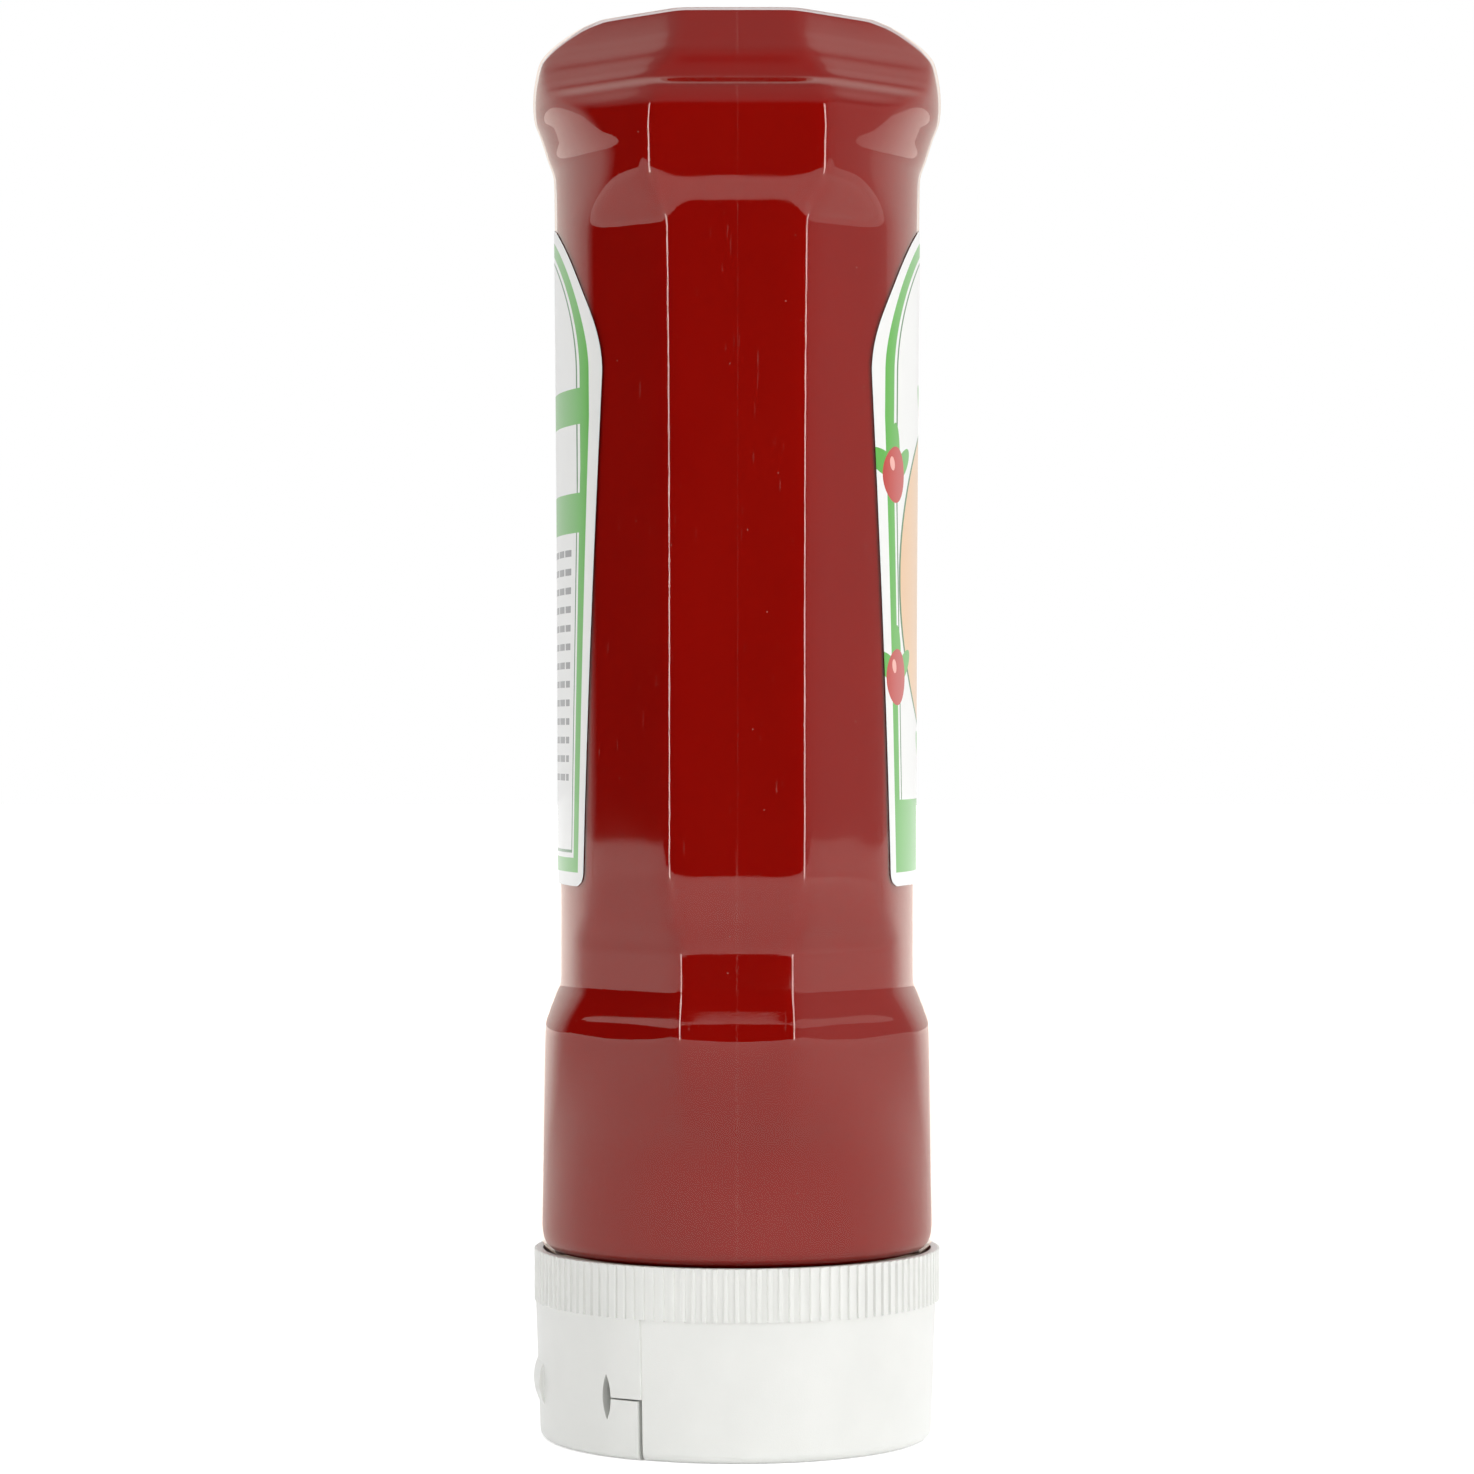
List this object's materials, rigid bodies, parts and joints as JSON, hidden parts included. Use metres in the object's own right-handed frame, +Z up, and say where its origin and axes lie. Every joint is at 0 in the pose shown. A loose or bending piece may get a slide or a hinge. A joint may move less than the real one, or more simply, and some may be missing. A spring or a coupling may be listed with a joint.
{
  "type": "ketchup bottle",
  "caption": "Clear eight-sided squeeze bottle of red ketchup standing upside down on a white ribbed flip-top cap, with an arched label front and back",
  "frame": {"origin": "on the floor under the middle of the cap, the centre of the bottom of the box", "axes": "+Z up along the bottle, +X towards the front label, -X the hinge side of the cap, narrow sides face -Y and +Y"},
  "size_m": [0.0582, 0.0744, 0.2],
  "materials": {
    "clear_plastic": "clear, glossy, thin wall over red sauce",
    "ketchup": "thick smooth red sauce",
    "label_film": "satin printed film, white with green bands",
    "white_plastic": "satin moulded white"
  },
  "bodies": {
    "root": {"bottle": "clear_plastic", "ketchup": "ketchup", "front_label": "label_film", "back_label": "label_film", "cap": "white_plastic", "lid": "white_plastic"}
  },
  "joints": []
}
